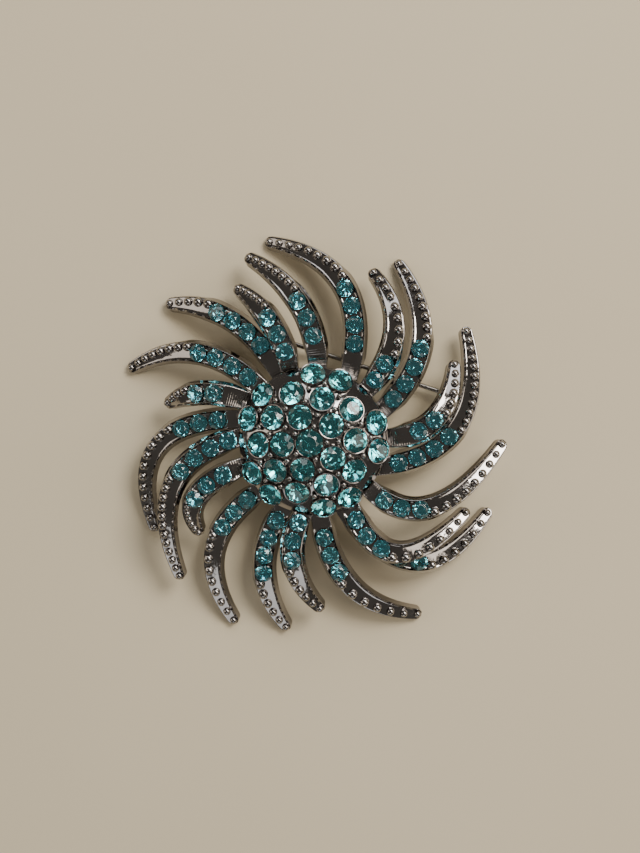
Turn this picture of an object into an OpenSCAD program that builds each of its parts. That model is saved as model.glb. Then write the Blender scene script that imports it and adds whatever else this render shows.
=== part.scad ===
// Swirl brooch: two cast sprays of curved arms under a stone-paved dome, with a
// hinged pin and a turning lock on the back.
// Millimetres. The origin is on the dome's axis, on the surface that the brooch
// lies on. +Z is out of the face, +Y is up as worn.

/* [Spray] */
// Radius that the longest arm tips reach
spray_r = 36; // [30:0.5:44]
// Thickness of each hub
hub_t = 2; // [1.8:0.1:2.4]
// Height of the lower hub's back above the surface
back_z = 5.2; // [5:0.1:6.3]
// Gap between the two hubs, and between an arm and its hub
seam = 0.03; // [0.02:0.01:0.1]

/* [Arms] */
// Metal on each side of a stone, on an arm's top face
side_metal = 0.25; // [0.15:0.05:0.4]
// The same on each side of a stone that sits right at the root
root_metal = 0.1; // [0.05:0.05:0.2]
// Width of an arm's top face at the tip
tip_w = 1.9; // [1.4:0.1:2.4]
// Thickness of an arm at the root below the depth of a seat
root_floor = 0.65; // [0.5:0.05:0.75]
// Thickness of an arm at the tip below the depth of a seat
tip_floor = 0.15; // [0.1:0.05:0.4]
// How far each side wall leans out at its foot
side_draft = 0.45; // [0.2:0.05:0.6]
// How far the top face drops from its middle to its edges
crown_drop = 0.2; // [0.05:0.05:0.4]
// Height of the bend above the root, lower arms
lower_rise = 0.8; // [0:0.1:1.2]
// Height of the bend above the root, upper arms
upper_rise = 4.6; // [4:0.1:6]

/* [Arm stones] */
// Diameter of an arm stone
stone_d = 3; // [2.5:0.1:3.6]
// Gap between two stones of a row
stone_gap = 0.25; // [0.2:0.05:0.6]
// Height of a stone's girdle above the metal
stone_lift = 0.15; // [0.05:0.05:0.4]
// Clearance all round a stone in its seat
seat_clear = 0.04; // [0.02:0.01:0.1]

/* [Dome] */
// Radius of the dome's sphere
dome_sphere_r = 18.2; // [17:0.1:22]
// Diameter of the centre stone
centre_stone_d = 4.5; // [3.7:0.1:5.4]
// Diameter of the other dome stones
dome_stone_d = 4.1; // [3.4:0.1:4.9]
// Gap between the dome's neighbouring stones
stone_web = 0.35; // [0.25:0.05:0.6]
// Metal outside the middles of the outermost stones
dome_edge = 1.1; // [0.8:0.1:1.6]
// Height of the straight collar under the dome
collar_h = 0.8; // [0.5:0.1:2]
// Wall of the dome, from its face to the hollow
dome_wall = 2.7; // [2.5:0.1:3.4]

/* [Centre rivet] */
// Diameter of the rivet that holds the dome and hubs together
rivet_d = 2.6; // [2.1:0.1:3.2]
// Diameter of its head
rivet_head_d = 4.6; // [3.8:0.1:6]
// Thickness of its head
rivet_head_t = 0.7; // [0.5:0.1:1]
// Radial clearance of the rivet in the hubs and the dome
rivet_clear = 0.03; // [0.01:0.01:0.1]
// Wall of the dome's boss round the rivet
boss_wall = 1.2; // [0.8:0.1:2]

/* [Pin] */
// Height of the closed pin above the surface
pin_z = 2.2; // [2.1:0.1:2.3]
// Diameter of the stem
pin_d = 0.8; // [0.65:0.05:0.9]
// Diameter of the stem where it leaves its eye
pin_shoulder_d = 1.1; // [1:0.05:1.2]
// Diameter of the stem where its point begins
pin_point_d = 0.5; // [0.4:0.05:0.6]
// Length of the stem's taper in front of the lock
pin_run_in = 1; // [0.5:0.1:1.2]
// Length of the stem between the lock and the point
pin_run_out = 0.1; // [0.1:0.1:0.6]
// Length of the point
pin_point = 0.8; // [0.8:0.1:1.6]
// Distance from the joint arm's root to the joint
joint_at = 10; // [9:0.5:11]
// Distance from the catch arm's root to the catch
catch_at = 19.5; // [18.5:0.5:20.5]
// Diameter of the pads that hold the joint and the catch
pad_d = 3; // [2.6:0.1:3.4]
// Thickness of those pads
pad_t = 0.5; // [0.4:0.05:0.6]
// How deep a pad is let into the back of its arm
pad_sink = 0.4; // [0.3:0.05:0.5]

/* [Joint] */
// Diameter of the joint's rivet
joint_rivet_d = 0.8; // [0.65:0.05:1]
// Radial clearance of the joint's rivet in the ears
ear_clear = 0.01; // [0.01:0.01:0.03]
// Radial clearance of the pin's eye on the rivet
eye_clear = 0.05; // [0.02:0.01:0.1]
// Wall of the pin's eye round the rivet
eye_wall = 0.6; // [0.5:0.05:0.7]
// Width of the pin's eye
eye_w = 1.2; // [1:0.1:1.4]
// Gap between the eye and each ear
ear_gap = 0.1; // [0.05:0.01:0.2]
// Thickness of each ear
ear_t = 0.6; // [0.5:0.05:0.8]
// Height of the rivet's heads outside the ears
joint_head_t = 0.25; // [0.2:0.05:0.4]

/* [Catch] */
// Clearance of the pin in the lock and in both slots
pin_clear = 0.15; // [0.1:0.01:0.2]
// Wall of the lock round the pin
lock_wall = 0.45; // [0.35:0.05:0.5]
// Radial clearance of the lock inside the band
lock_clear = 0.05; // [0.02:0.01:0.1]
// Wall of the band
band_wall = 0.5; // [0.4:0.05:0.55]
// Width of the band along the pin
band_w = 1.2; // [1.1:0.1:1.7]
// Thickness of the lock's end flanges
flange_t = 0.35; // [0.3:0.05:0.45]
// Gap between the band and each flange
flange_gap = 0.05; // [0.02:0.01:0.1]
// Reach of the lock's finger tab from the pin
tab_r = 2; // [1.8:0.1:2]
// Width of the finger tab
tab_w = 0.8; // [0.6:0.1:1]

/* [Hidden] */
$fn = 48;
METAL = [0.24, 0.21, 0.19];
TEAL = [0.16, 0.55, 0.59];
STEEL = [0.45, 0.44, 0.43];

// The arms, anticlockwise from the top of the face. Each row gives the tier,
// the angles of the root, the bend and the tip, how far the tip falls short of
// spray_r, how far the bend lies inside the tip, the distance from the root to
// the first stone, the number of stones and the height of the tip's face
LOWER = 0;
UPPER = 1;
ARMS = [
    [LOWER,  61,  70, 105,    1,  2.5, 5.5, 4, 1],
    [UPPER,  86,  88, 111,  2.5,  8.5, 5.5, 3, 5],
    [UPPER, 108, 104, 118,  6.5,  7.5, 3.5, 3, 5],
    [LOWER, 117, 118, 139,    1,    8,   6, 4, 1.5],
    [LOWER, 136, 136, 161,    1,    7,   3, 4, 1],
    [UPPER, 149, 152, 168,  9.5,    5, 6.5, 2, 5],
    [LOWER, 164, 174, 211,    3, -1.5, 4.5, 3, 1],
    [UPPER, 178, 188, 227,    2,  3.5,   2, 4, 5],
    [UPPER, 201, 200, 221,   10,  0.5,   4, 3, 5],
    [LOWER, 224, 218, 247,    0,  6.5,   3, 3, 1],
    [LOWER, 247, 241, 262,  1.5,  8.5,   3, 4, 1],
    [UPPER, 263, 253, 273,    6,    8,   2, 3, 5],
    [LOWER, 275, 276, 301,    0,  6.5, 4.5, 3, 1],
    [UPPER, 300, 296, 336,    7, -0.5,   3, 3, 5],
    [LOWER, 294, 301, 338,  3.5, -2.5,   7, 4, 1],
    [UPPER, 320, 319, 360,  3.5,  5.5, 3.5, 3, 5],
    [LOWER, 339, 357, 397,    4,    1,   3, 4, 4],
    [UPPER, 362, 363, 390,  8.5,  3.5,   6, 2, 6],
    [LOWER,  23,  34,  66,  2.5,  4.5,   3, 4, 1],
    [UPPER,  43,  46,  72,  5.5,    4, 2.5, 2, 5]
];
JOINT_ARM = 4;
CATCH_ARM = 17;
RINGS = 12;
ROOT_INSIDE = 0.08;
TIP_ROUND = 0.03;

// Round stones: pavilion and crown depth, girdle and table width, as shares of the diameter
PAVILION = 0.42;
GIRDLE = 0.03;
CROWN = 0.2;
TABLE = 0.56;

// An arm is as wide and as thick as its stones' seats need
seat_depth = PAVILION * stone_d + seat_clear - stone_lift;
arm_w = stone_d + 2 * side_metal;
root_w = stone_d + 2 * root_metal;
root_t = seat_depth + root_floor;
tip_t = seat_depth + tip_floor;

// Angles of the dome's five-fold stone pattern
INNER_ANGLE = 39;
NEAR_ANGLE = 3;
PAIR_ANGLE = 4.5;
PAIR_SPREAD = 12;
FOLD = 72;
// Share of a stone's pitch that the nearer stones of the middle ring stand out by
NEAR_SHARE = 0.7;

// Polar angles on the dome's sphere, from the arc between neighbouring stones
pitch = dome_stone_d + stone_web;
inner_arc = (centre_stone_d + dome_stone_d) / 2 + stone_web;
near_arc = inner_arc + NEAR_SHARE * pitch;
far_arc = inner_arc + pitch;
outer_arc = near_arc + pitch;
dome_r = dome_sphere_r * sin(on_sphere(outer_arc)) + dome_edge;
hub_r = dome_r + seam;

// Heights of the stack
lower_top = back_z + hub_t;
upper_back = lower_top + seam;
upper_top = upper_back + hub_t;
dome_foot = upper_top + seam;
sphere_z = dome_foot + collar_h - sqrt(pow(dome_sphere_r, 2) - pow(dome_r, 2));
boss_d = rivet_d + 2 * (rivet_clear + boss_wall);
culet_z = sphere_z + dome_sphere_r + stone_lift - PAVILION * centre_stone_d;
rivet_top = culet_z - 1;

// The pin runs from the joint's arm to the catch's arm
joint_place = arm_point(JOINT_ARM, joint_at);
catch_place = arm_point(CATCH_ARM, catch_at);
pin_run = [catch_place.x - joint_place.x, catch_place.y - joint_place.y];
pin_length = norm(pin_run);
pin_heading = atan2(pin_run.y, pin_run.x);
eye_r = joint_rivet_d / 2 + eye_clear + eye_wall;
eye_bore_r = joint_rivet_d / 2 + eye_clear;
ear_r = eye_r * 0.8;
ear_y = eye_w / 2 + ear_gap;
lock_bore_r = pin_d / 2 + pin_clear;
lock_r = lock_bore_r + lock_wall;
band_r = lock_r + lock_clear;
band_outer_r = band_r + band_wall;
slot_w = 2 * lock_bore_r;
flange_r = band_outer_r - 0.15;
lock_half = band_w / 2 + flange_gap + flange_t;
// Where the finger tab points with the lock open, from straight back
TAB_ANGLE = 80;

function on_sphere(arc) = arc / dome_sphere_r * 180 / PI;
function unit(v) = v / norm(v);
function sum(v, i = 0) = i == len(v) ? 0 : v[i] + sum(v, i + 1);
function mix(a, b, t) = a + (b - a) * t;
function on_plan(r, angle, z) = [r * cos(angle), r * sin(angle), z];

// An arm's centreline along its top face: one quadratic curve, root to tip
function root_z(arm) = arm[0] == LOWER ? lower_top : upper_top;
function bend_z(arm) = root_z(arm) + (arm[0] == LOWER ? lower_rise : upper_rise);
function tip_r(arm) = spray_r - arm[4];
function guide(arm) = [
    on_plan(hub_r, arm[1], root_z(arm)),
    on_plan(tip_r(arm) - arm[5], arm[2], bend_z(arm)),
    on_plan(tip_r(arm), arm[3], arm[8])
];
function curve(g, t) = pow(1 - t, 2) * g[0] + 2 * t * (1 - t) * g[1] + t * t * g[2];
function along(g, t) = unit((1 - t) * (g[1] - g[0]) + t * (g[2] - g[1]));
function arc(g, t, n = 16) = sum([for (i = [1:n]) norm(curve(g, t * i / n) - curve(g, t * (i - 1) / n))]);
function param(g, s, lo = 0, hi = 1, n = 10) = let (m = (lo + hi) / 2)
    n == 0 ? m : arc(g, m) < s ? param(g, s, m, hi, n - 1) : param(g, s, lo, m, n - 1);
function arm_point(number, s) = let (g = guide(ARMS[number - 1])) curve(g, param(g, s));
function stone_at(arm, i) = arm[6] + i * (stone_d + stone_gap);
function last_stone_end(arm) = stone_at(arm, arm[7] - 1) + stone_d / 2;

// Half width of the top face and thickness, a distance s along an arm of length l
function taper(arm, s, l) = max(0, (s - last_stone_end(arm)) / (l - last_stone_end(arm)));
function half_w(arm, s, l) = s < arm_w ? mix(root_w, arm_w, max(0, s / arm_w)) / 2
    : mix(arm_w, tip_w, pow(taper(arm, s, l), 1.3)) / 2;
function thick(s, l) = mix(root_t, tip_t, max(0, min(1, s / l)));
function foot_lean(s) = side_draft * max(0, min(1, s / arm_w));

// Ring of eight points round an arm at t, shrunk to close the tip
function ring(arm, t, shrink = 1) = let (
    g = guide(arm),
    l = arc(g, 1),
    s = t > 0 ? arc(g, t) : 0,
    w = half_w(arm, s, l) * shrink,
    h = thick(s, l),
    lean = foot_lean(s) * shrink,
    c = curve(g, t),
    dir = along(g, t),
    side = unit([-dir.y, dir.x, 0]),
    up = cross(dir, side),
    mid = h * (1 - shrink) / 2,
    top = -mid,
    foot = mid - h
) [for (p = [
    [w, top - crown_drop], [w / 2, top], [-w / 2, top], [-w, top - crown_drop],
    [-w - lean, foot + h / 4], [-w * 0.6 - lean, foot], [w * 0.6 + lean, foot], [w + lean, foot + h / 4]
]) c + p.x * side + p.y * up];

function sweep_faces(rings, n) = concat(
    [[for (k = [n - 1:-1:0]) k]],
    [[for (k = [0:n - 1]) (rings - 1) * n + k]],
    [for (r = [0:rings - 2], k = [0:n - 1]) [r * n + k, r * n + (k + 1) % n, (r + 1) * n + k]],
    [for (r = [0:rings - 2], k = [0:n - 1]) [r * n + (k + 1) % n, (r + 1) * n + (k + 1) % n, (r + 1) * n + k]]
);

// Puts what follows on an arm's face, s from its root, with +X along the arm
module on_arm(arm, s) {
    g = guide(arm);
    t = param(g, s);
    dir = along(g, t);
    translate(curve(g, t))
        rotate([0, -asin(dir.z), atan2(dir.y, dir.x)])
            children();
}

// Puts what follows on the dome's face
module on_dome(arc_out, angle) {
    translate([0, 0, sphere_z])
        rotate([0, on_sphere(arc_out), angle])
            translate([0, 0, dome_sphere_r])
                children();
}

// Puts what follows at the joint with +X along the pin, and dist further along
module on_pin(dist = 0) {
    translate([joint_place.x, joint_place.y, pin_z])
        rotate(pin_heading)
            translate([dist, 0, 0])
                children();
}

module stone(d) {
    r = d / 2;
    translate([0, 0, stone_lift])
        rotate_extrude()
            polygon([
                [0, -PAVILION * d], [r, 0], [r, GIRDLE * d],
                [TABLE * r, (GIRDLE + CROWN) * d], [0, (GIRDLE + CROWN) * d]
            ]);
}

module seat(d) {
    r = d / 2 + seat_clear;
    translate([0, 0, stone_lift])
        rotate_extrude()
            polygon([[0, -PAVILION * d - seat_clear], [r, -seat_clear], [r, d], [0, d]]);
}

module pad_seat(place, number) {
    translate([place.x, place.y, 0])
        cylinder(d = pad_d + 2 * seat_clear, h = pad_top(place, number) + seam);
}

function pad_top(place, number) = place.z - thick(
    number == JOINT_ARM ? joint_at : catch_at, arc(guide(ARMS[number - 1]), 1)) + pad_sink;

module arm(number) {
    arm = ARMS[number - 1];
    steps = [for (i = [0:RINGS]) mix(-ROOT_INSIDE, 1 - TIP_ROUND, i / RINGS)];
    rings = concat([for (t = steps) ring(arm, t)], [ring(arm, 1, 0.6)]);
    color(METAL)
        difference() {
            polyhedron([for (r = rings) each r], sweep_faces(len(rings), 8));
            cylinder(r = hub_r + seam, h = 3 * upper_top, center = true, $fn = 96);
            for (i = [0:arm[7] - 1])
                on_arm(arm, stone_at(arm, i))
                    seat(stone_d);
            if (number == JOINT_ARM) pad_seat(joint_place, number);
            if (number == CATCH_ARM) pad_seat(catch_place, number);
        }
}

module arm_stones(number) {
    arm = ARMS[number - 1];
    color(TEAL)
        for (i = [0:arm[7] - 1])
            on_arm(arm, stone_at(arm, i))
                stone(stone_d);
}

module lower_hub() {
    color(METAL)
        translate([0, 0, back_z])
            difference() {
                cylinder(r = hub_r, h = hub_t, $fn = 96);
                translate([0, 0, -1])
                    cylinder(d = rivet_d + 2 * rivet_clear, h = hub_t + 2);
                translate([0, 0, -1])
                    cylinder(d = rivet_head_d + 2 * rivet_clear, h = 1 + rivet_head_t + seam);
            }
}

module upper_hub() {
    color(METAL)
        translate([0, 0, upper_back])
            difference() {
                cylinder(r = hub_r, h = hub_t, $fn = 96);
                translate([0, 0, -1])
                    cylinder(d = rivet_d + 2 * rivet_clear, h = hub_t + 2);
            }
}

module dome_seats() {
    on_dome(0, 0)
        seat(centre_stone_d);
    for (k = [0:4]) {
        on_dome(inner_arc, INNER_ANGLE + k * FOLD)
            seat(dome_stone_d);
        on_dome(near_arc, NEAR_ANGLE + k * FOLD)
            seat(dome_stone_d);
        on_dome(far_arc, INNER_ANGLE + k * FOLD)
            seat(dome_stone_d);
        for (side = [-1, 1])
            on_dome(outer_arc, PAIR_ANGLE + side * PAIR_SPREAD + k * FOLD)
                seat(dome_stone_d);
    }
}

module dome() {
    color(METAL)
        difference() {
            union() {
                difference() {
                    intersection() {
                        translate([0, 0, sphere_z])
                            sphere(dome_sphere_r, $fn = 96);
                        translate([0, 0, dome_foot])
                            cylinder(r = dome_r, h = dome_sphere_r, $fn = 96);
                    }
                    translate([0, 0, sphere_z])
                        sphere(dome_sphere_r - dome_wall, $fn = 96);
                }
                translate([0, 0, dome_foot])
                    cylinder(d = boss_d, h = rivet_top - dome_foot + 0.6);
            }
            translate([0, 0, dome_foot - 1])
                cylinder(d = rivet_d + 2 * rivet_clear, h = rivet_top - dome_foot + 1.1);
            dome_seats();
        }
}

module centre_stone() {
    color(TEAL)
        on_dome(0, 0)
            stone(centre_stone_d);
}

module inner_ring_stones() {
    color(TEAL)
        for (k = [0:4])
            on_dome(inner_arc, INNER_ANGLE + k * FOLD)
                stone(dome_stone_d);
}

module middle_ring_stones() {
    color(TEAL)
        for (k = [0:4]) {
            on_dome(near_arc, NEAR_ANGLE + k * FOLD)
                stone(dome_stone_d);
            on_dome(far_arc, INNER_ANGLE + k * FOLD)
                stone(dome_stone_d);
        }
}

module outer_ring_stones() {
    color(TEAL)
        for (k = [0:4], side = [-1, 1])
            on_dome(outer_arc, PAIR_ANGLE + side * PAIR_SPREAD + k * FOLD)
                stone(dome_stone_d);
}

module centre_rivet() {
    color(STEEL)
        translate([0, 0, back_z]) {
            cylinder(d = rivet_head_d, h = rivet_head_t);
            cylinder(d = rivet_d, h = rivet_top - back_z);
        }
}

module pin_joint() {
    top = pad_top(joint_place, JOINT_ARM) - pin_z;
    color(STEEL)
        on_pin()
            difference() {
                union() {
                    translate([0, 0, top - pad_t])
                        cylinder(d = pad_d, h = pad_t);
                    for (side = [-1, 1])
                        translate([0, side * (ear_y + ear_t / 2), 0]) {
                            translate([-ear_r, -ear_t / 2, 0])
                                cube([2 * ear_r, ear_t, top - (pad_t + pad_sink) / 2]);
                            rotate([90, 0, 0])
                                cylinder(r = ear_r, h = ear_t, center = true);
                        }
                }
                rotate([90, 0, 0])
                    cylinder(r = joint_rivet_d / 2 + ear_clear, h = 2 * pad_d, center = true);
            }
}

module joint_rivet() {
    head_y = ear_y + ear_t + seam;
    color(STEEL)
        on_pin()
            rotate([90, 0, 0]) {
                cylinder(d = joint_rivet_d, h = 2 * (head_y + joint_head_t), center = true);
                for (side = [-1, 1])
                    translate([0, 0, side * (head_y + joint_head_t / 2)])
                        cylinder(r = ear_r * 0.8, h = joint_head_t, center = true);
            }
}

module pin_stem() {
    taper_from = pin_length - lock_half - pin_run_in;
    point_from = pin_length + lock_half + pin_run_out;
    color(STEEL)
        on_pin()
            difference() {
                union() {
                    rotate([90, 0, 0])
                        cylinder(r = eye_r, h = eye_w, center = true);
                    rotate([0, 90, 0]) {
                        cylinder(d1 = pin_shoulder_d, d2 = pin_d, h = 2 * eye_r);
                        cylinder(d = pin_d, h = taper_from);
                        translate([0, 0, taper_from])
                            cylinder(d1 = pin_d, d2 = pin_point_d, h = point_from - taper_from);
                        translate([0, 0, point_from])
                            cylinder(d1 = pin_point_d, d2 = pin_point_d / 4, h = pin_point);
                    }
                }
                rotate([90, 0, 0])
                    cylinder(r = eye_bore_r, h = 2 * eye_w, center = true);
            }
}

module pin_catch() {
    top = pad_top(catch_place, CATCH_ARM) - pin_z;
    color(STEEL)
        on_pin(pin_length)
            difference() {
                union() {
                    translate([0, 0, top - pad_t])
                        cylinder(d = pad_d, h = pad_t);
                    translate([-band_w / 2, -band_r / 2, 0])
                        cube([band_w, band_r, top - pad_t / 2]);
                    rotate([0, 90, 0])
                        cylinder(r = band_outer_r, h = band_w, center = true);
                }
                rotate([0, 90, 0])
                    cylinder(r = band_r, h = 2 * band_w, center = true);
                translate([-band_w, -slot_w / 2, -2 * band_outer_r])
                    cube([2 * band_w, slot_w, 2 * band_outer_r]);
            }
}

module catch_lock() {
    color(STEEL)
        on_pin(pin_length)
            difference() {
                union() {
                    rotate([0, 90, 0])
                        cylinder(r = lock_r, h = 2 * lock_half, center = true);
                    for (side = [-1, 1])
                        translate([side * (lock_half - flange_t / 2), 0, 0])
                            rotate([0, 90, 0])
                                cylinder(r = flange_r, h = flange_t, center = true);
                    translate([lock_half - flange_t, 0, 0])
                        rotate([TAB_ANGLE, 0, 0])
                            translate([0, -tab_w / 2, -tab_r])
                                cube([flange_t, tab_w, tab_r - lock_r]);
                }
                rotate([0, 90, 0])
                    cylinder(r = lock_bore_r, h = 4 * lock_half, center = true);
                translate([-2 * lock_half, -slot_w / 2, -2 * flange_r])
                    cube([4 * lock_half, slot_w, 2 * flange_r]);
            }
}

ARM_NAMES = [for (n = [1:len(ARMS)])
    str(ARMS[n - 1][0] == LOWER ? "lower" : "upper", "_arm_", n < 10 ? "0" : "", n)];

lower_hub();
upper_hub();
dome();
centre_rivet();
for (n = [1:len(ARMS)]) {
    arm(n);
    arm_stones(n);
}
centre_stone();
inner_ring_stones();
middle_ring_stones();
outer_ring_stones();
pin_joint();
joint_rivet();
pin_stem();
pin_catch();
catch_lock();
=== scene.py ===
"""Swirl brooch: dark plated castings set with faceted teal stones, on a plain pale floor.

The script builds each part of the brooch in millimetres, in the order it is put together, and
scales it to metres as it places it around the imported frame.
"""

import math

import bmesh
import bpy
from mathutils import Matrix, Vector


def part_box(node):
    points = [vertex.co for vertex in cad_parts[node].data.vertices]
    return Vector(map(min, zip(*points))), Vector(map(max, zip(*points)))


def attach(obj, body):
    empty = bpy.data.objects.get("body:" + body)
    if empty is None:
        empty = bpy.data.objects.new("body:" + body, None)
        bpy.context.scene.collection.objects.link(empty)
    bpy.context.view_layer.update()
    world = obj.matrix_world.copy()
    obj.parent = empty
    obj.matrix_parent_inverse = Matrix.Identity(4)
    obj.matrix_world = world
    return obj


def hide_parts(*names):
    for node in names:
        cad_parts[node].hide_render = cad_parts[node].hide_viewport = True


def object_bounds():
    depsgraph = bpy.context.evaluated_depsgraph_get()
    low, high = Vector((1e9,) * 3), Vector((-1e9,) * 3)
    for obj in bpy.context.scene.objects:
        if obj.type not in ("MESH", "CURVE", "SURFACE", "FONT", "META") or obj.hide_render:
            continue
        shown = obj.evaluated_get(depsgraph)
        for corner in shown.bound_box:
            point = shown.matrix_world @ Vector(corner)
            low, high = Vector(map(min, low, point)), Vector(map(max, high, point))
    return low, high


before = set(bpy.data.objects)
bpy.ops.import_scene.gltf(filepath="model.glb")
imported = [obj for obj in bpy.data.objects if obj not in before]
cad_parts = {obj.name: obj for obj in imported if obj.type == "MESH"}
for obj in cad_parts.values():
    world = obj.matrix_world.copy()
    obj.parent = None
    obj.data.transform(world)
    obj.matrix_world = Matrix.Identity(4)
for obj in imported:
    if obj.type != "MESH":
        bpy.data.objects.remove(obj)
cad_box = [list(corner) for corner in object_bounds()]

# ------------------------------------------------------------------------------------------
# Floor. A plain sheet of pale card under the brooch, with the faint unevenness of its matt
# surface. It is only scenery.
# ------------------------------------------------------------------------------------------
MM = 0.001


def linear(hex_colour):
    """An sRGB hex colour as the linear RGBA that shader sockets take."""
    parts = [int(hex_colour[i:i + 2], 16) / 255 for i in (1, 3, 5)]
    return tuple(c / 12.92 if c <= 0.04045 else ((c + 0.055) / 1.055) ** 2.4 for c in parts) + (1.0,)


def add_node(tree, kind, settings=None, **links):
    """A shader node with its settings, where an underscore in a link's name stands for a space."""
    node = tree.nodes.new(kind)
    for name, value in (settings or {}).items():
        if name in node.inputs:
            node.inputs[name].default_value = value
        else:
            setattr(node, name, value)
    for name, source in links.items():
        tree.links.new(source, node.inputs[name.replace("_", " ")])
    return node


def new_material(name):
    """An empty material and its node tree."""
    material = bpy.data.materials.new(name)
    material.use_nodes = True
    material.node_tree.nodes.clear()
    return material, material.node_tree


def finish_material(tree, shader):
    add_node(tree, "ShaderNodeOutputMaterial", Surface=shader.outputs["BSDF"])


def matt_card():
    """Matt card: one pale warm tone that clouds very slightly, with a tooth too fine to see."""
    material, tree = new_material("matt_card")
    place = add_node(tree, "ShaderNodeTexCoord").outputs["Object"]
    cloud = add_node(tree, "ShaderNodeTexNoise", {"Scale": 9.0, "Detail": 3.0}, Vector=place)
    tone = add_node(tree, "ShaderNodeMixRGB", {"Color1": linear("#D6C9AC"), "Color2": linear("#E1D5BA")},
                    Fac=cloud.outputs["Fac"])
    shader = add_node(tree, "ShaderNodeBsdfPrincipled", {"Roughness": 0.85},
                      Base_Color=tone.outputs["Color"])
    finish_material(tree, shader)
    return material


FLOOR_SIZE = 1.6
floor_mesh = bmesh.new()
bmesh.ops.create_grid(floor_mesh, x_segments=1, y_segments=1, size=FLOOR_SIZE / 2)
bmesh.ops.translate(floor_mesh, verts=floor_mesh.verts, vec=(0, 0, cad_box[0][2]))
floor_data = bpy.data.meshes.new("floor")
floor_mesh.to_mesh(floor_data)
floor_mesh.free()
floor = bpy.data.objects.new("floor", floor_data)
floor.data.materials.append(matt_card())
bpy.context.scene.collection.objects.link(floor)

# ------------------------------------------------------------------------------------------
# Sprays. Two castings of zinc alloy, one over the other, each with ten curved arms that taper
# to a blunt tip. An arm has a ribbed root, a raised rim round its channel, a stone in each
# seat and then a row of cast beads along its outer edge. Polished, then plated black nickel.
# ------------------------------------------------------------------------------------------
LOWER, UPPER = "lower", "upper"
SPRAY_R = 36
SEAM = 0.03
ROOT_W, ARM_W, TIP_W = 3.2, 3.5, 1.9
ROOT_T, TIP_T = 1.8, 1.3
RISE = {LOWER: 0.8, UPPER: 4.6}
STONE_D, STONE_GAP, STONE_LIFT, SEAT_CLEAR = 3, 0.25, 0.15, 0.04
FOOT_LEAN = 0.45
RIM_H, CHANNEL_DEPTH = 0.18, 0.24
RIB_PITCH, RIB_H = 0.4, 0.05
BACK_HOLLOW = 0.22
FIRST_BEAD_D, LAST_BEAD_D, BEAD_SINK = 1.8, 1.3, 0.2
BEAD_INSET = 0.85
TIP_ROUND = 1.0
SHARP = math.radians(38)

# The arms, anticlockwise from the top of the face: tier, the angles of the root, the bend and
# the tip, how far the tip falls short of SPRAY_R, how far the bend lies inside the tip, the
# distance from the root to the first stone, the stones, the height of the tip and the beads
ARMS = (
    (LOWER, 61, 70, 105, 1, 2.5, 5.5, 4, 1, 9),
    (UPPER, 86, 88, 111, 2.5, 8.5, 5.5, 3, 5, 8),
    (UPPER, 108, 104, 118, 6.5, 7.5, 3.5, 3, 5, 6),
    (LOWER, 117, 118, 139, 1, 8, 6, 4, 1.5, 5),
    (LOWER, 136, 136, 161, 1, 7, 3, 4, 1, 8),
    (UPPER, 149, 152, 168, 9.5, 5, 6.5, 2, 5, 4),
    (LOWER, 164, 174, 211, 3, -1.5, 4.5, 3, 1, 11),
    (UPPER, 178, 188, 227, 2, 3.5, 2, 4, 5, 12),
    (UPPER, 201, 200, 221, 10, 0.5, 4, 3, 5, 6),
    (LOWER, 224, 218, 247, 0, 6.5, 3, 3, 1, 9),
    (LOWER, 247, 241, 262, 1.5, 8.5, 3, 4, 1, 6),
    (UPPER, 263, 253, 273, 6, 8, 2, 3, 5, 6),
    (LOWER, 275, 276, 301, 0, 6.5, 4.5, 3, 1, 7),
    (UPPER, 300, 296, 336, 7, -0.5, 3, 3, 5, 8),
    (LOWER, 294, 301, 338, 3.5, -2.5, 7, 4, 1, 7),
    (UPPER, 320, 319, 360, 3.5, 5.5, 3.5, 3, 5, 9),
    (LOWER, 339, 357, 397, 4, 1, 3, 4, 4, 12),
    (UPPER, 362, 363, 390, 8.5, 3.5, 6, 2, 6, 6),
    (LOWER, 23, 34, 66, 2.5, 4.5, 3, 4, 1, 9),
    (UPPER, 43, 46, 72, 5.5, 4, 2.5, 2, 5, 9),
)

hub_low, hub_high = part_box("upper_hub")
HUB_R = (hub_high.x - hub_low.x) / 2 / MM
ROOT_Z = {LOWER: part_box("lower_hub")[1].z / MM, UPPER: hub_high.z / MM}


def mix(a, b, share):
    return a + (b - a) * min(1, max(0, share))


def on_plan(radius, degrees, height):
    angle = math.radians(degrees)
    return Vector((radius * math.cos(angle), radius * math.sin(angle), height))


class ArmLine:
    """An arm's centreline along its face: one quadratic curve, measured by distance from the root."""

    STEPS = 128

    def __init__(self, arm):
        tier, root, bend, tip, short, bend_in = arm[:6]
        tip_r = SPRAY_R - short
        self.points = (
            on_plan(HUB_R, root, ROOT_Z[tier]),
            on_plan(tip_r - bend_in, bend, ROOT_Z[tier] + RISE[tier]),
            on_plan(tip_r, tip, arm[8]),
        )
        self.marks = [0]
        for i in range(self.STEPS):
            step = self.point((i + 1) / self.STEPS) - self.point(i / self.STEPS)
            self.marks.append(self.marks[-1] + step.length)
        self.length = self.marks[-1]

    def point(self, t):
        a, b, c = self.points
        return (1 - t) ** 2 * a + 2 * t * (1 - t) * b + t * t * c

    def stand(self, s):
        """The frame at s along the arm: X along it, Y to its inner side and Z out of its face."""
        inside = min(max(s, 0), self.length)
        i = min(self.STEPS - 1, sum(mark < inside for mark in self.marks[1:]))
        t = (i + (inside - self.marks[i]) / (self.marks[i + 1] - self.marks[i])) / self.STEPS
        a, b, c = self.points
        along = ((1 - t) * (b - a) + t * (c - b)).normalized()
        side = Vector((-along.y, along.x, 0)).normalized()
        place = self.point(t) + (s - inside) * along
        frame_here = Matrix((along, side, along.cross(side))).transposed().to_4x4()
        frame_here.translation = place
        return frame_here


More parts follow.
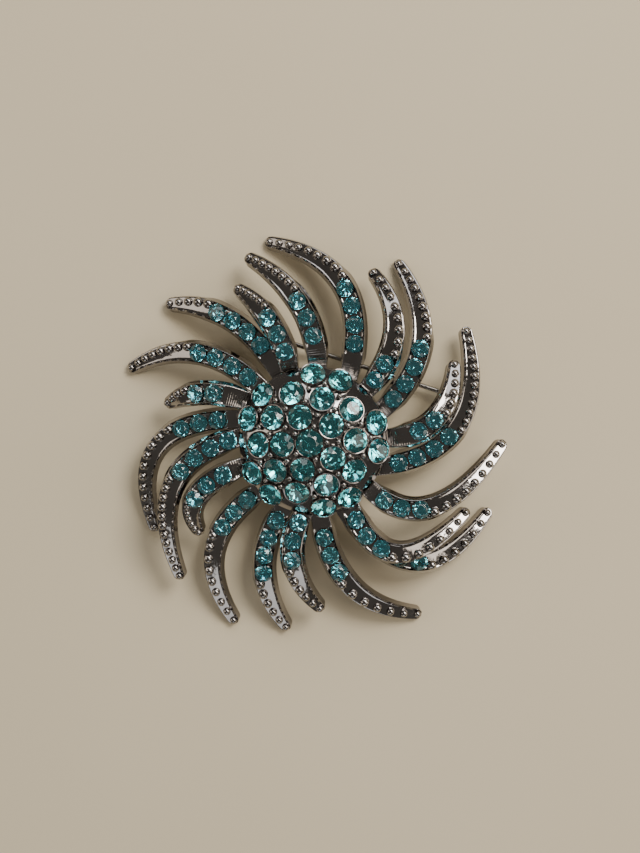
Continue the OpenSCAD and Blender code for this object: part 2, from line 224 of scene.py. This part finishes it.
def stone_stations(arm):
    return [arm[6] + i * (STONE_D + STONE_GAP) for i in range(arm[7])]


def half_width(arm, s, length):
    if s < ARM_W:
        return mix(ROOT_W, ARM_W, s / ARM_W) / 2
    last = stone_stations(arm)[-1] + STONE_D / 2
    return mix(ARM_W, TIP_W, max(0, (s - last) / (length - last)) ** 1.3) / 2


def section(arm, s, length, shrink):
    """The arm's outline at s, from its inner shoulder over the face and round the back."""
    w = half_width(arm, s, length) * shrink
    h = mix(ROOT_T, TIP_T, s / length)
    last = stone_stations(arm)[-1] + STONE_D / 2
    past = mix(0, 1, (s - last) / 2)
    shaped = mix(0, 1, (s - arm[6] + STONE_D / 2 + 0.4) / 0.8)
    lean = FOOT_LEAN * mix(0, 1, s / ARM_W) * shrink
    outer_lean = lean * mix(1, 0.35, past)
    rib = RIB_H * (1 - shaped) * math.cos(2 * math.pi * s / RIB_PITCH)
    rim = RIM_H * shaped * shrink
    floor_z = -CHANNEL_DEPTH * mix(0.3, 1, shaped) * shrink
    outer_rim = mix(rim, floor_z, past)
    edge = min(1, w / 0.9)
    squeeze = (1 - shrink) * 0.6 * h / 2
    face = [
        (w, -0.3), (w - 0.06 * edge, -0.02), (w - 0.2 * edge, rim), (w - 0.34 * edge, 0.2 * floor_z),
        (w - 0.48 * edge, floor_z), (0.3 * w, floor_z), (-0.3 * w, floor_z), (0.48 * edge - w, floor_z),
        (0.34 * edge - w, mix(0.2, 1, past) * floor_z), (0.2 * edge - w, outer_rim),
        (0.06 * edge - w, mix(-0.02, floor_z - 0.03, past)), (-w, -0.3),
    ]
    foot = -h + 2 * squeeze
    back = [
        (-w - 0.55 * outer_lean, 0.62 * foot), (-w - outer_lean, foot + 0.25),
        (-w - outer_lean + 0.15, foot), (-0.5 * w, foot), (-0.35 * w, foot + BACK_HOLLOW * shrink),
        (0.35 * w, foot + BACK_HOLLOW * shrink), (0.5 * w, foot), (w + lean - 0.15, foot),
        (w + lean, foot + 0.25), (w + 0.55 * lean, 0.62 * foot),
    ]
    return [(y, z + rib - squeeze) for y, z in face] + [(y, z - squeeze) for y, z in back]


def arm_blank(arm, length):
    """The arm as a straight closed bar along X, one section after another."""
    stations = []
    s = -2.4
    while s < length - TIP_ROUND:
        stations.append((s, 1))
        s += RIB_PITCH / 2 if s < arm[6] - STONE_D / 2 else 0.5
    for i in range(7):
        turn = math.radians(i * 13)
        stations.append((length - TIP_ROUND * (1 - math.sin(turn)), math.cos(turn)))
    bar = bmesh.new()
    corner = bar.verts.layers.int.new("corner")
    outline = []
    for i, (y, z) in enumerate(section(arm, stations[0][0], length, 1)):
        vert = bar.verts.new((stations[0][0], y, z))
        vert[corner] = i
        outline.append(vert)
    edges = list(bar.faces.new(outline).edges)
    for s, shrink in stations[1:]:
        profile = section(arm, s, length, shrink)
        made = bmesh.ops.extrude_edge_only(bar, edges=edges)["geom"]
        edges = [part for part in made if isinstance(part, bmesh.types.BMEdge) and part.is_boundary]
        for vert in made:
            if isinstance(vert, bmesh.types.BMVert):
                vert.co = (s, *profile[vert[corner]])
    bmesh.ops.edgeloop_fill(bar, edges=edges)
    bmesh.ops.recalc_face_normals(bar, faces=bar.faces)
    return bar


def arm_beads(arm, length):
    """The cast beads past the last stone, in a row that runs out to the outer edge."""
    start = stone_stations(arm)[-1] + STONE_D / 2 + 0.6
    pitch = (length - 0.9 - start) / (arm[9] - 1)
    beads = bmesh.new()
    for i in range(arm[9]):
        share = i / (arm[9] - 1)
        s = start + i * pitch
        bead_r = min(mix(FIRST_BEAD_D, LAST_BEAD_D, share), 0.96 * pitch) / 2
        inset = mix(BEAD_INSET, TIP_W / 2, share)
        place = (s, inset - half_width(arm, s, length), -BEAD_SINK)
        bmesh.ops.create_icosphere(beads, subdivisions=2, radius=bead_r, matrix=Matrix.Translation(place))
    return beads


def bend_along(shape, line):
    """Lays a shape built along X onto the arm's own line."""
    for vert in shape.verts:
        vert.co = line.stand(vert.co.x) @ Vector((0, vert.co.y, vert.co.z))


def turned(profile, steps):
    """A solid of revolution about Z from (radius, height) points that start and end on the axis."""
    solid = bmesh.new()
    verts = [solid.verts.new((radius, 0, height)) for radius, height in profile]
    edges = [solid.edges.new(pair) for pair in zip(verts, verts[1:])]
    bmesh.ops.spin(solid, geom=verts + edges, cent=(0, 0, 0), axis=(0, 0, 1), angle=2 * math.pi,
                   steps=steps, use_merge=True)
    bmesh.ops.remove_doubles(solid, verts=solid.verts, dist=1e-5)
    bmesh.ops.recalc_face_normals(solid, faces=solid.faces)
    return solid


def add_copy(target, shape, matrix):
    """Adds a copy of a shape to another, put in place by the matrix."""
    copy = bpy.data.meshes.new("copy")
    shape.to_mesh(copy)
    copy.transform(matrix)
    target.from_mesh(copy)
    bpy.data.meshes.remove(copy)


def loose_object(shape, name):
    mesh = bpy.data.meshes.new(name)
    shape.to_mesh(mesh)
    holder = bpy.data.objects.new(name, mesh)
    bpy.context.scene.collection.objects.link(holder)
    return holder


def worked(shape, added=(), cut=(), rounds=0):
    """The shape smoothed by a number of rounds, with solids fused on and then others cut away."""
    work = loose_object(shape, "work")
    shape.free()
    if rounds:
        smooth = work.modifiers.new("smooth", "SUBSURF")
        smooth.levels = smooth.render_levels = rounds
    tools = []
    for operation, solids in (("UNION", added), ("DIFFERENCE", cut)):
        for solid in solids:
            tool = loose_object(solid, "tool")
            tools.append(tool)
            step = work.modifiers.new("step", "BOOLEAN")
            step.operation = operation
            step.solver = "MANIFOLD"
            step.object = tool
    bpy.context.view_layer.update()
    result = bmesh.new()
    done = work.evaluated_get(bpy.context.evaluated_depsgraph_get())
    result.from_mesh(done.to_mesh())
    done.to_mesh_clear()
    for holder in [work] + tools:
        data = holder.data
        bpy.data.objects.remove(holder)
        bpy.data.meshes.remove(data)
    return result


def place_piece(name, shape, materials, body, nodes, smooth=True):
    """Writes a shape in millimetres as a piece of the brooch that stands for its CAD nodes."""
    bmesh.ops.scale(shape, verts=shape.verts, vec=(MM, MM, MM))
    data = bpy.data.meshes.new(name)
    shape.to_mesh(data)
    shape.free()
    if smooth:
        data.shade_smooth()
        data.set_sharp_from_angle(angle=SHARP)
    for material in materials:
        data.materials.append(material)
    piece = bpy.data.objects.new(name, data)
    bpy.context.scene.collection.objects.link(piece)
    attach(piece, body)
    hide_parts(*nodes)
    return piece


def per_mm(size):
    """The scale of a pattern on Object coordinates whose features are that many millimetres apart."""
    return 1 / (size * MM)


def black_nickel(name, dark, light, wave, gloss):
    """Black nickel plate over a polished casting: a near-black mirror that still shows the slow
    waves of the cast skin, browner where the plate is thin, with a few duller patches."""
    material, tree = new_material(name)
    place = add_node(tree, "ShaderNodeTexCoord").outputs["Object"]
    waves = add_node(tree, "ShaderNodeTexNoise", {"Scale": per_mm(1.8), "Detail": 2.0}, Vector=place)
    grain = add_node(tree, "ShaderNodeTexNoise", {"Scale": per_mm(0.35), "Detail": 3.0}, Vector=place)
    thin = add_node(tree, "ShaderNodeTexNoise", {"Scale": per_mm(5.0), "Detail": 4.0}, Vector=place)
    tone = add_node(tree, "ShaderNodeMixRGB", {"Color1": linear(dark), "Color2": linear(light)},
                    Fac=thin.outputs["Fac"])
    dull = add_node(tree, "ShaderNodeMapRange", {"To Min": gloss, "To Max": gloss + 0.12, "From Min": 0.5,
                                                 "From Max": 0.8}, Value=grain.outputs["Fac"])
    slow = add_node(tree, "ShaderNodeBump", {"Strength": wave, "Distance": 0.06 * MM},
                    Height=waves.outputs["Fac"])
    fine = add_node(tree, "ShaderNodeBump", {"Strength": 0.3 * wave, "Distance": 0.006 * MM},
                    Height=grain.outputs["Fac"], Normal=slow.outputs["Normal"])
    shader = add_node(tree, "ShaderNodeBsdfPrincipled", {"Metallic": 1.0}, Base_Color=tone.outputs["Color"],
                      Roughness=dull.outputs["Result"], Normal=fine.outputs["Normal"])
    finish_material(tree, shader)
    return material


PAVILION, GIRDLE, CROWN, TABLE = 0.42, 0.03, 0.2, 0.56
CAST_PLATE = black_nickel("black_nickel_plate", "#7D7977", "#B2AFAD", 0.7, 0.07)


def seat_cutter(diameter, clear):
    """The cone that a stone's seat is drilled with, open to the front."""
    r = diameter / 2 + clear
    return turned([(0, -PAVILION * diameter - clear), (r, -clear), (r, diameter), (0, diameter)], 32)


root_cut = turned([(0, -5), (HUB_R + SEAM, -5), (HUB_R + SEAM, 30), (0, 30)], 96)
arm_seat = seat_cutter(STONE_D, SEAT_CLEAR)
arm_lines = [ArmLine(arm) for arm in ARMS]
for number, (arm, line) in enumerate(zip(ARMS, arm_lines), 1):
    node = f"{arm[0]}_arm_{number:02d}"
    beads = arm_beads(arm, line.length)
    blank = arm_blank(arm, line.length)
    bend_along(beads, line)
    bend_along(blank, line)
    seats = bmesh.new()
    for s in stone_stations(arm):
        add_copy(seats, arm_seat, line.stand(s) @ Matrix.Translation((0, 0, STONE_LIFT)))
    casting = worked(blank, added=[beads], cut=[root_cut, seats], rounds=1)
    place_piece(f"{node}_casting", casting, [CAST_PLATE], "brooch", [node])

# ------------------------------------------------------------------------------------------
# Arm stones. Round machine-cut chatons of teal glass, 3 mm across, with a silvered and
# lacquered back. Each is glued into its seat and stands a little proud of the metal.
# ------------------------------------------------------------------------------------------
CORNERS = 8
STAR_SHARE, HALF_SHARE = 0.45, 0.34


def ring_of(shape, count, radius, height, half_step):
    """Corners evenly round the stone, on the main facets' lines or half a step between them."""
    turn = Matrix.Rotation(math.pi / CORNERS * (0 if half_step else 1), 4, "Z")
    bmesh.ops.create_circle(shape, segments=count, radius=radius,
                            matrix=Matrix.Translation((0, 0, height)) @ turn)


def chaton(diameter):
    """A faceted stone: the hull of its table, star points, girdle, lower points and culet."""
    r = diameter / 2
    table_r, table_z, girdle_z = TABLE * r, (GIRDLE + CROWN) * diameter, GIRDLE * diameter
    culet_z = -PAVILION * diameter
    star_r = table_r + STAR_SHARE * (r - table_r)
    half_r = HALF_SHARE * r
    mid = math.cos(math.pi / CORNERS)
    star_z = table_z + (girdle_z - table_z) * (star_r * mid - table_r) / (r - table_r)
    half_z = culet_z * (1 - half_r * mid / r)
    stone = bmesh.new()
    ring_of(stone, CORNERS, table_r, table_z, False)
    ring_of(stone, CORNERS, star_r, star_z, True)
    ring_of(stone, 4 * CORNERS, r, girdle_z, False)
    ring_of(stone, 4 * CORNERS, r, 0, False)
    ring_of(stone, CORNERS, half_r, half_z, True)
    stone.verts.new((0, 0, culet_z))
    bmesh.ops.delete(stone, geom=stone.edges[:], context="EDGES_FACES")
    bmesh.ops.convex_hull(stone, input=stone.verts)
    bmesh.ops.dissolve_limit(stone, angle_limit=math.radians(1), verts=stone.verts, edges=stone.edges)
    bmesh.ops.recalc_face_normals(stone, faces=stone.faces)
    for face in stone.faces:
        face.material_index = 1 if face.calc_center_median().z < -0.01 else 0
    return stone


def teal_glass(name, deep, pale):
    """Lead-free cut glass, coloured through: clear, with sharp polished facets, and a tint that
    differs a little from stone to stone."""
    material, tree = new_material(name)
    place = add_node(tree, "ShaderNodeTexCoord").outputs["Object"]
    batch = add_node(tree, "ShaderNodeTexNoise", {"Scale": per_mm(7.0), "Detail": 1.0}, Vector=place)
    tone = add_node(tree, "ShaderNodeMixRGB", {"Color1": linear(deep), "Color2": linear(pale)},
                    Fac=batch.outputs["Fac"])
    shader = add_node(tree, "ShaderNodeBsdfPrincipled",
                      {"Roughness": 0.02, "IOR": 1.56, "Transmission Weight": 1.0},
                      Base_Color=tone.outputs["Color"])
    finish_material(tree, shader)
    return material


def silvered_back(name, tint, thin):
    """Silver foil under lacquer: a bright mirror behind the glass, a little uneven."""
    material, tree = new_material(name)
    place = add_node(tree, "ShaderNodeTexCoord").outputs["Object"]
    patches = add_node(tree, "ShaderNodeTexNoise", {"Scale": per_mm(0.8), "Detail": 2.0}, Vector=place)
    tone = add_node(tree, "ShaderNodeMixRGB", {"Color1": linear(tint), "Color2": linear(thin)},
                    Fac=patches.outputs["Fac"])
    shader = add_node(tree, "ShaderNodeBsdfPrincipled", {"Metallic": 1.0, "Roughness": 0.06},
                      Base_Color=tone.outputs["Color"])
    finish_material(tree, shader)
    return material


ARM_GLASS = teal_glass("teal_cut_glass", "#5FD8F6", "#A0F4FF")
FOIL = silvered_back("silver_foil", "#F2F6F6", "#DDE6E6")
arm_stone = chaton(STONE_D)
for number, (arm, line) in enumerate(zip(ARMS, arm_lines), 1):
    node = f"{arm[0]}_arm_{number:02d}_stones"
    row = bmesh.new()
    for i, s in enumerate(stone_stations(arm)):
        turn = Matrix.Rotation(math.radians(37 * (number + 3 * i)), 4, "Z")
        add_copy(row, arm_stone, line.stand(s) @ Matrix.Translation((0, 0, STONE_LIFT)) @ turn)
    place_piece(f"{node}_cut", row, [ARM_GLASS, FOIL], "brooch", [node], smooth=False)

# ------------------------------------------------------------------------------------------
# Dome. A hollow cast cap, plated like the arms, with a cup for each of its 26 stones and a
# cast grain in every gap between three of them. Its boss takes the centre rivet.
# ------------------------------------------------------------------------------------------
DOME_SPHERE_R, DOME_WALL, COLLAR_H = 18.2, 2.7, 0.8
CENTRE_D, DOME_STONE_D, WEB = 4.5, 4.1, 0.35
BOSS_R, RIVET_HOLE_R = 2.53, 1.33
INNER_ANGLE, NEAR_ANGLE, PAIR_ANGLE, PAIR_SPREAD, FOLD, NEAR_SHARE = 39, 3, 4.5, 12, 72, 0.7
CUP_WALL, CUP_LIP = 0.15, 0.1
GRAIN_R, GRAIN_LIFT, GAP_DROP, WIDEST_GAP = 0.5, 0.12, 0.38, 1.7

dome_low, dome_high = (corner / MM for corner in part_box("dome"))
DOME_R, DOME_FOOT = (dome_high.x - dome_low.x) / 2, dome_low.z
SPHERE_Z = DOME_FOOT + COLLAR_H - math.sqrt(DOME_SPHERE_R ** 2 - DOME_R ** 2)
PITCH = DOME_STONE_D + WEB
INNER_ARC = (CENTRE_D + DOME_STONE_D) / 2 + WEB
NEAR_ARC, FAR_ARC = INNER_ARC + NEAR_SHARE * PITCH, INNER_ARC + PITCH
OUTER_ARC = NEAR_ARC + PITCH


def on_dome(arc, degrees):
    """The frame on the dome's face, an arc's length from its top: Z out of the face."""
    tilt = Matrix.Rotation(arc / DOME_SPHERE_R, 4, "Y")
    turn = Matrix.Rotation(math.radians(degrees), 4, "Z")
    lift = Matrix.Translation((0, 0, DOME_SPHERE_R))
    return Matrix.Translation((0, 0, SPHERE_Z)) @ turn @ tilt @ lift


folds = [k * FOLD for k in range(5)]
dome_rings = {
    "centre_stone": [(0, 0)],
    "inner_ring_stones": [(INNER_ARC, INNER_ANGLE + turn) for turn in folds],
    "middle_ring_stones": [(NEAR_ARC, NEAR_ANGLE + turn) for turn in folds]
                          + [(FAR_ARC, INNER_ANGLE + turn) for turn in folds],
    "outer_ring_stones": [(OUTER_ARC, PAIR_ANGLE + side * PAIR_SPREAD + turn)
                          for turn in folds for side in (-1, 1)],
}


def dome_shell():
    """The plain cap: its round face below the cups' lips, the collar, the hollow and the boss."""
    inner_r = DOME_SPHERE_R - DOME_WALL
    face_r = DOME_SPHERE_R - GAP_DROP
    rim = math.asin(DOME_R / face_r)
    face = [(face_r * math.sin(rim * i / 40), SPHERE_Z + face_r * math.cos(rim * i / 40))
            for i in range(41)]
    hollow_rim = math.acos((DOME_FOOT - SPHERE_Z) / inner_r)
    boss_turn = math.asin(BOSS_R / inner_r)
    hollow = [(inner_r * math.sin(angle), SPHERE_Z + inner_r * math.cos(angle))
              for angle in (mix(hollow_rim, boss_turn, i / 20) for i in range(21))]
    hole_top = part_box("centre_rivet")[1].z / MM + 0.05
    boss = [(BOSS_R, DOME_FOOT), (RIVET_HOLE_R, DOME_FOOT), (RIVET_HOLE_R, hole_top), (0, hole_top)]
    collar = [(DOME_R, DOME_FOOT + 0.12), (DOME_R - 0.12, DOME_FOOT)]
    return turned(face + collar + hollow + boss, 128)


def stone_cup(diameter):
    """The thin raised wall round a stone, rounded over at its lip."""
    inner = diameter / 2 + SEAT_CLEAR
    outer = inner + CUP_WALL
    lip = STONE_LIFT + CUP_LIP
    ring = [(inner, -0.85), (inner, lip - 0.03), (inner + 0.04, lip), (outer - 0.04, lip),
            (outer, lip - 0.05), (outer + 0.06, -0.85)]
    cup = bmesh.new()
    verts = [cup.verts.new((radius, 0, height)) for radius, height in ring]
    edges = [cup.edges.new(pair) for pair in zip(verts, verts[1:] + verts[:1])]
    bmesh.ops.spin(cup, geom=verts + edges, cent=(0, 0, 0), axis=(0, 0, 1), angle=2 * math.pi,
                   steps=40, use_merge=True)
    bmesh.ops.remove_doubles(cup, verts=cup.verts, dist=1e-5)
    bmesh.ops.recalc_face_normals(cup, faces=cup.faces)
    return cup


def gap_centres(stones):
    """The middle of each gap that three neighbouring stones leave, as unit vectors."""
    found = []
    for i, (a, ra) in enumerate(stones):
        for j, (b, rb) in enumerate(stones[i + 1:], i + 1):
            for c, rc in stones[j + 1:]:
                apart = max((a - b).length - ra - rb, (b - c).length - rb - rc, (a - c).length - ra - rc)
                if apart > WIDEST_GAP:
                    continue
                centre = (b - a).cross(c - a)
                if centre.length < 1e-6:
                    continue
                centre = centre.normalized() * (1 if centre.z > 0 else -1)
                point = centre * DOME_SPHERE_R
                room = min((point - p).length - r for p, r in stones)
                if room > GRAIN_R / 2 and all((point - q).length > 2 * GRAIN_R for q in found):
                    found.append(point)
    return found


shell = dome_shell()
cups = bmesh.new()
dome_seats = bmesh.new()
stone_spots = []
for name, places in dome_rings.items():
    diameter = CENTRE_D if name == "centre_stone" else DOME_STONE_D
    cup, seat = stone_cup(diameter), seat_cutter(diameter, SEAT_CLEAR)
    for arc, degrees in places:
        here = on_dome(arc, degrees)
        add_copy(cups, cup, here)
        add_copy(dome_seats, seat, here @ Matrix.Translation((0, 0, STONE_LIFT)))
        stone_spots.append((here.translation - Vector((0, 0, SPHERE_Z)), diameter / 2))
grains = bmesh.new()
for point in gap_centres(stone_spots):
    place = Matrix.Translation(point + Vector((0, 0, SPHERE_Z)) + point.normalized() * GRAIN_LIFT)
    bmesh.ops.create_icosphere(grains, subdivisions=2, radius=GRAIN_R, matrix=place)
dome = worked(shell, added=[cups, grains], cut=[dome_seats])
place_piece("dome_casting", dome, [CAST_PLATE], "brooch", ["dome"])

# ------------------------------------------------------------------------------------------
# Dome stones. The same cut of chaton as on the arms, larger and a little greener, each held in
# its cup by the lip and the grains round it.
# ------------------------------------------------------------------------------------------
DOME_GLASS = teal_glass("sea_green_cut_glass", "#50CCDA", "#86E8EE")
for name, places in dome_rings.items():
    stone = chaton(CENTRE_D if name == "centre_stone" else DOME_STONE_D)
    ring = bmesh.new()
    for i, (arc, degrees) in enumerate(places):
        turn = Matrix.Rotation(math.radians(53 * i), 4, "Z")
        add_copy(ring, stone, on_dome(arc, degrees) @ Matrix.Translation((0, 0, STONE_LIFT)) @ turn)
    place_piece(f"{name}_cut", ring, [DOME_GLASS, FOIL], "brooch", [name], smooth=False)

# ------------------------------------------------------------------------------------------
# Hubs and findings. The two hubs are discs of the same castings, and the rivet clamps them
# under the dome. The joint, catch and lock are stamped brass and the pin is drawn steel wire,
# soldered or riveted on and then plated dark with the rest.
# ------------------------------------------------------------------------------------------
FINDING_PLATE = black_nickel("dark_plated_brass", "#6B6662", "#949089", 0.2, 0.14)
PIN_PLATE = black_nickel("dark_plated_steel", "#77736F", "#9A9690", 0.1, 0.12)


def eased(node, width):
    """A copy of a CAD node with its loose triangles joined and its edges rounded by that width."""
    shape = bmesh.new()
    shape.from_mesh(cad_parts[node].data)
    bmesh.ops.scale(shape, verts=shape.verts, vec=(1 / MM, 1 / MM, 1 / MM))
    bmesh.ops.remove_doubles(shape, verts=shape.verts, dist=0.002)
    bmesh.ops.dissolve_limit(shape, angle_limit=math.radians(2), verts=shape.verts, edges=shape.edges)
    edges = [edge for edge in shape.edges if edge.is_manifold and edge.calc_face_angle() > math.radians(35)]
    bmesh.ops.bevel(shape, geom=edges, offset=width, offset_type="OFFSET", segments=2, profile=0.5,
                    affect="EDGES", material=-1, clamp_overlap=True)
    bmesh.ops.triangulate(shape, faces=[face for face in shape.faces if len(face.verts) > 4])
    return shape


for node, width, material, body, slot in (
    ("lower_hub", 0.15, CAST_PLATE, "brooch", "cast_gunmetal"),
    ("upper_hub", 0.15, CAST_PLATE, "brooch", "cast_gunmetal"),
    ("centre_rivet", 0.12, PIN_PLATE, "brooch", "pin_steel"),
    ("pin_joint", 0.06, FINDING_PLATE, "brooch", "finding_metal"),
    ("joint_rivet", 0.06, PIN_PLATE, "brooch", "pin_steel"),
    ("pin_stem", 0.04, PIN_PLATE, "pin", "pin_steel"),
    ("pin_catch", 0.06, FINDING_PLATE, "brooch", "finding_metal"),
    ("catch_lock", 0.05, PIN_PLATE, "lock", "pin_steel"),
):
    place_piece(f"{node}_eased", eased(node, width), [material], body, [node])

# ------------------------------------------------------------------------------------------
# Studio. The camera looks down on the face, with a soft key from the upper right, four dimmer
# panels round the brooch and a dark room that the plating and the stones reflect.
# ------------------------------------------------------------------------------------------
CAMERA_AT, CAMERA_TO = Vector((25.0, 24.0, 305.0)) * MM, Vector((1.2, 2.3, 8.0)) * MM
FIELD_OF_VIEW = math.radians(27.22)


def aimed(name, data, at, to):
    """A camera or lamp put at one point and turned to another, with its top towards +Y."""
    back = (at - to).normalized()
    right = Vector((0, 1, 0)).cross(back).normalized()
    holder = bpy.data.objects.new(name, data)
    turn = Matrix((right, back.cross(right), back)).transposed().to_4x4()
    holder.matrix_world = Matrix.Translation(at) @ turn
    bpy.context.scene.collection.objects.link(holder)
    return holder


def softbox(name, at, size, watts, colour):
    lamp = bpy.data.lights.new(name, "AREA")
    lamp.shape = "RECTANGLE"
    lamp.size, lamp.size_y = size
    lamp.energy = watts
    lamp.color = linear(colour)[:3]
    return aimed(name, lamp, Vector(at), Vector((0, 0, 0)))


camera_data = bpy.data.cameras.new("camera")
camera_data.angle = FIELD_OF_VIEW
camera_data.clip_start, camera_data.clip_end = 0.01, 10
bpy.context.scene.camera = aimed("camera", camera_data, CAMERA_AT, CAMERA_TO)
softbox("key", (0.42, 0.42, 0.62), (0.34, 0.34), 6.2, "#FFF8EE")
softbox("top", (0.05, 0.5, 0.34), (0.5, 0.22), 1.04, "#FFFFFF")
softbox("left", (-0.5, 0.05, 0.3), (0.46, 0.2), 0.55, "#FFF3E4")
softbox("right", (0.5, -0.05, 0.34), (0.5, 0.22), 1.04, "#FFF3E4")
softbox("bottom", (0, -0.5, 0.34), (0.46, 0.2), 0.41, "#FFFFFF")
room = bpy.data.worlds.new("room")
room.use_nodes = True
bpy.context.scene.world = room
room.node_tree.nodes["Background"].inputs["Color"].default_value = linear("#9C968E")
room.node_tree.nodes["Background"].inputs["Strength"].default_value = 0.34
